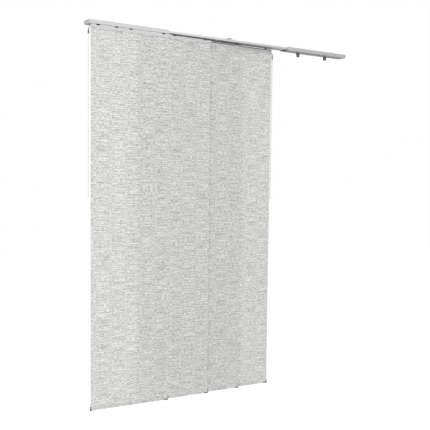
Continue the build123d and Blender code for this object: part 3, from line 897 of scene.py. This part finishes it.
# the folds give each point's share of the distance from the bar's middle to the cloth round it, and
# its height: round the bar above the foot, and at the front and the back above the seam
hem = {
    "seam": 0.0235,  # above the foot
    "barHalf": 0.0025,  # half the thickness of the bar
    "barGap": 0.0003,
    "footGap": 0.0002,
    "barFold": ((1.0, 0.014), (1.0, 0.008), (1.0, 0.0035), (0.75, 0.0011)),
    "frontFold": ((-0.7, -0.0022), (-1.0, -0.0040)),
    "backFold": ((1.0, -0.0040), (0.7, -0.0018)),
    "frontStart": (-0.0008, -0.0010),  # from the cloth's middle and the seam, both in metres
    "turnPlace": 1.15,  # the turn lies so many thicknesses of the cloth behind it
    "turnEnd": 0.0018,  # above the seam
}


def hemProfile(bottom, top):
    # centre line of the cloth in (y from its middle, z), top to bottom and round the bar
    t = cloth["thickness"]
    side = hem["barHalf"] + hem["barGap"] + t / 2
    seam = bottom + hem["seam"]
    step = cloth["yarnPitch"] / cloth["rowsPerYarn"]
    count = round((top - seam) / step)
    points = [(0.0, top + (seam - top) * i / count) for i in range(count + 1)]
    y, z = hem["frontStart"]
    points.append((y, seam + z))
    points += [(side * share, seam + up) for share, up in hem["frontFold"]]
    fold = [(side * share, bottom + up) for share, up in hem["barFold"]]
    points += [(-y, z) for y, z in fold] + [(0.0, bottom + t / 2 + hem["footGap"])] + fold[::-1]
    points += [(side * share, seam + up) for share, up in hem["backFold"]]
    return points + [(t * hem["turnPlace"], seam), (t * hem["turnPlace"], seam + hem["turnEnd"])]


stitch = {
    "pitch": 0.0042,
    "length": 0.0031,
    "thread": 0.00022,  # radius
    "rise": 0.0008,  # above the turn of the hem
    "margin": 0.003,
    "front": (-0.5, 0.0),  # place in thicknesses of the cloth, and shift along in stitches
    "back": (1.65, 0.5),
    "around": 6,  # sides and rings of one stitch
    "rings": 4,
}


def makeStitches(number, low, middle):
    # lockstitch along the hem, seen on both faces
    s = stitch
    bm = bmesh.new()
    for place, shift in (s["front"], s["back"]):
        bead = bmesh.ops.create_uvsphere(bm, u_segments=s["around"], v_segments=s["rings"],
                                         radius=s["thread"])["verts"]
        bmesh.ops.scale(bm, verts=bead, vec=(s["length"] / 2 / s["thread"], 1, 1))
        x = low.x + s["margin"] + s["length"] / 2 + shift * s["pitch"]
        y = middle + cloth["thickness"] * place
        bmesh.ops.translate(bm, verts=bead, vec=(x, y, low.z + hem["seam"] + s["rise"]))
    for face in bm.faces:
        face.smooth = True
    piece = meshPiece(f"hemStitches{number}", bm, finishes["stitch"], f"panel_{number}")
    count = int((cloth["width"] - 2 * s["margin"] - s["length"]) / s["pitch"])
    repeatPiece(piece, count, (s["pitch"], 0, 0))
    return piece


def makeCloth(number, material):
    low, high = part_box(f"fabric_{number}")
    middle = (low.y + high.y) / 2
    profile = hemProfile(low.z, high.z)
    lengths = [0.0]
    for a, b in zip(profile, profile[1:]):
        lengths.append(lengths[-1] + math.dist(a, b))
    columns, rows = cloth["columns"], len(profile) - 1
    bm = bmesh.new()
    uvLayer = bm.loops.layers.uv.new("flatCloth")
    bmesh.ops.create_grid(bm, x_segments=columns, y_segments=rows, size=0.5)
    flat = {}
    for vert in bm.verts:
        i = round((vert.co.x + 0.5) * columns)
        j = round((0.5 - vert.co.y) * rows)
        across, along = i / columns * cloth["width"], lengths[j]
        flat[vert] = (across, along)
        y, z = profile[j]
        free = freedom(z, low.z, high.z)
        share = 1 if j % cloth["rowsPerYarn"] else cloth["betweenYarns"]
        lift = yarnHeight(across, along, number * cloth["weftSeed"]) * cloth["yarnLift"] * share * free
        wave = Vector((across * cloth["bowAcross"], along * cloth["bowAlong"], number * cloth["bowSeed"]))
        bow = noise.noise(wave) * cloth["bow"] * free
        vert.co = (low.x + across, middle + y - lift + bow, z)
    roll = (number - 1) * lengths[-1]  # cut one after the other, so that no panel repeats another
    for face in bm.faces:
        face.smooth = True
        for loop in face.loops:
            across, along = flat[loop.vert]
            loop[uvLayer].uv = (across, roll + along)
    for edge in bm.edges:
        edge.smooth = not edge.is_boundary  # the cut edge keeps its own flat shading
    piece = meshPiece(f"clothPanel{number}", bm, material, f"panel_{number}")
    solidify = piece.modifiers.new("clothThickness", "SOLIDIFY")
    solidify.thickness = cloth["thickness"]
    solidify.offset = 0
    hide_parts(f"fabric_{number}")
    stitches = makeStitches(number, low, middle)
    print(f"cloth panel {number}: {len(profile)} rows, cut {cloth['width']:.3f} x {lengths[-1]:.3f} m")


weave = slubCloth()
for number in panelNumbers:
    makeCloth(number, weave)
